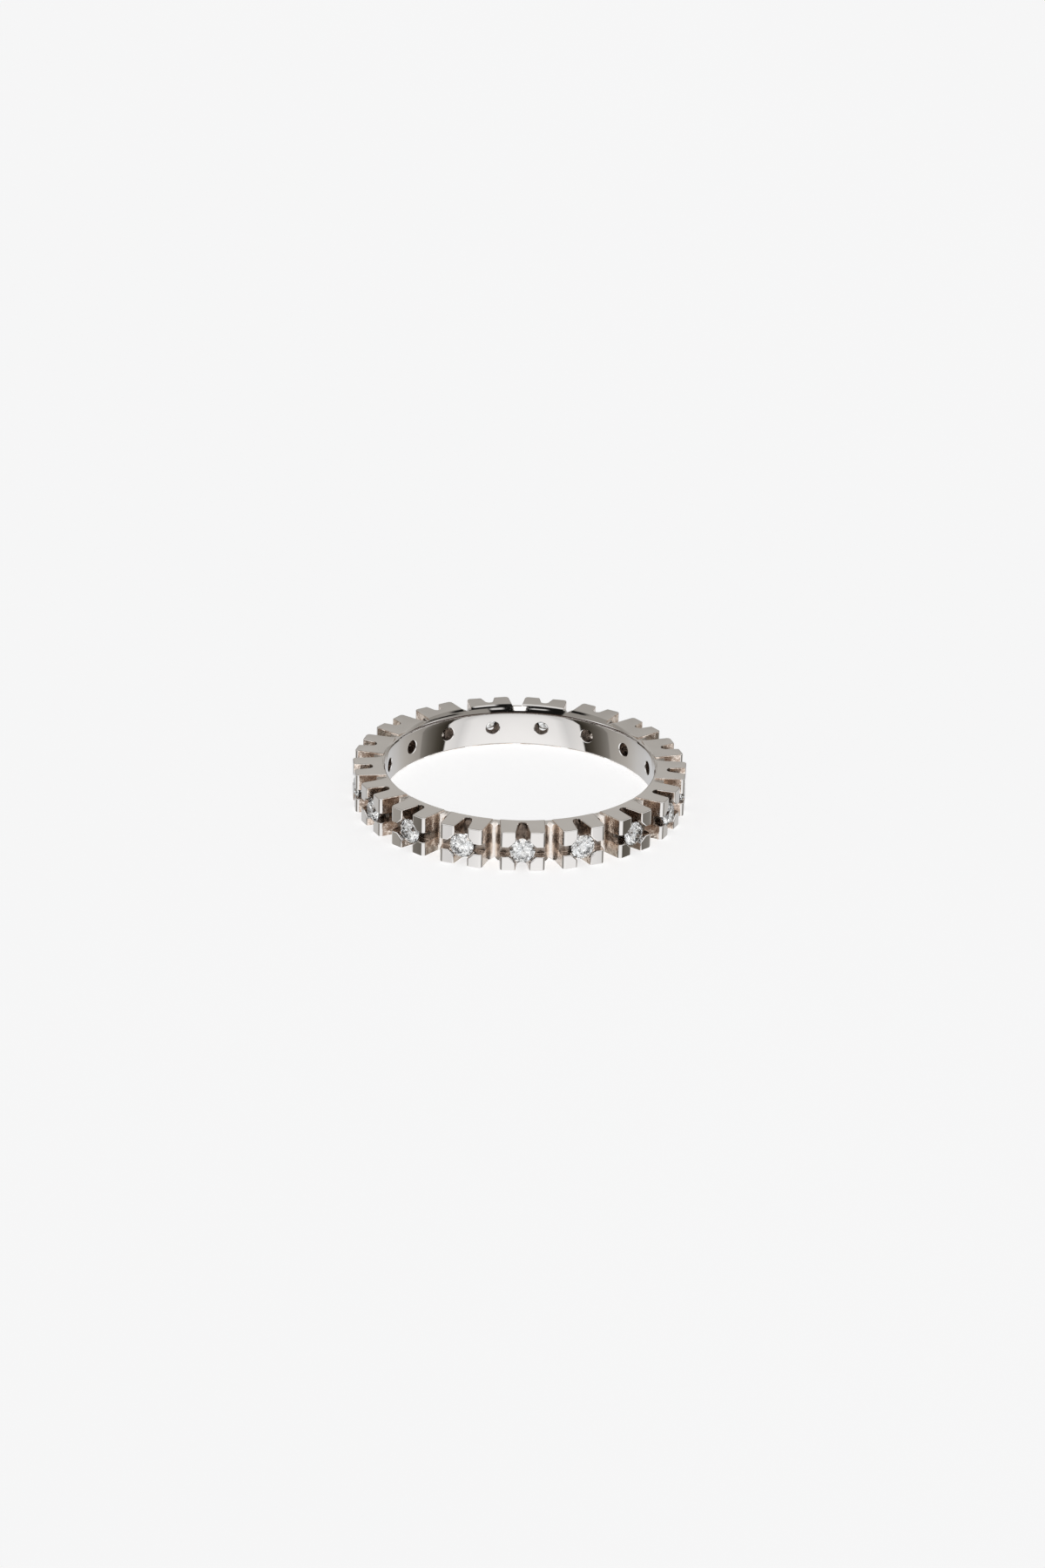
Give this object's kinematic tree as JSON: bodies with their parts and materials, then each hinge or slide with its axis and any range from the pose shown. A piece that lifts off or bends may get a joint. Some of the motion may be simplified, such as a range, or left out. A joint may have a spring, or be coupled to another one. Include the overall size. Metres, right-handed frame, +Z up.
{
  "type": "eternity ring",
  "caption": "Full eternity ring: a row of square four-post boxes round a plain finger band, with a round brilliant-cut stone in each box.",
  "frame": {"origin": "on the axis of the finger hole, level with the side that the ring rests on", "axes": "+Z up along the axis of the finger hole; -Y out through the middle of the first box"},
  "size_m": [0.021, 0.0209, 0.0026],
  "materials": {
    "platinum": "polished platinum on the faces, finely rough in the cuts",
    "diamond": "colourless round brilliant, polished"
  },
  "bodies": {
    "root": {"band": "platinum", "stone_01": "diamond", "stone_02": "diamond", "stone_03": "diamond", "stone_04": "diamond", "stone_05": "diamond", "stone_06": "diamond", "stone_07": "diamond", "stone_08": "diamond", "stone_09": "diamond", "stone_10": "diamond", "stone_11": "diamond", "stone_12": "diamond", "stone_13": "diamond", "stone_14": "diamond", "stone_15": "diamond", "stone_16": "diamond", "stone_17": "diamond"}
  },
  "joints": []
}
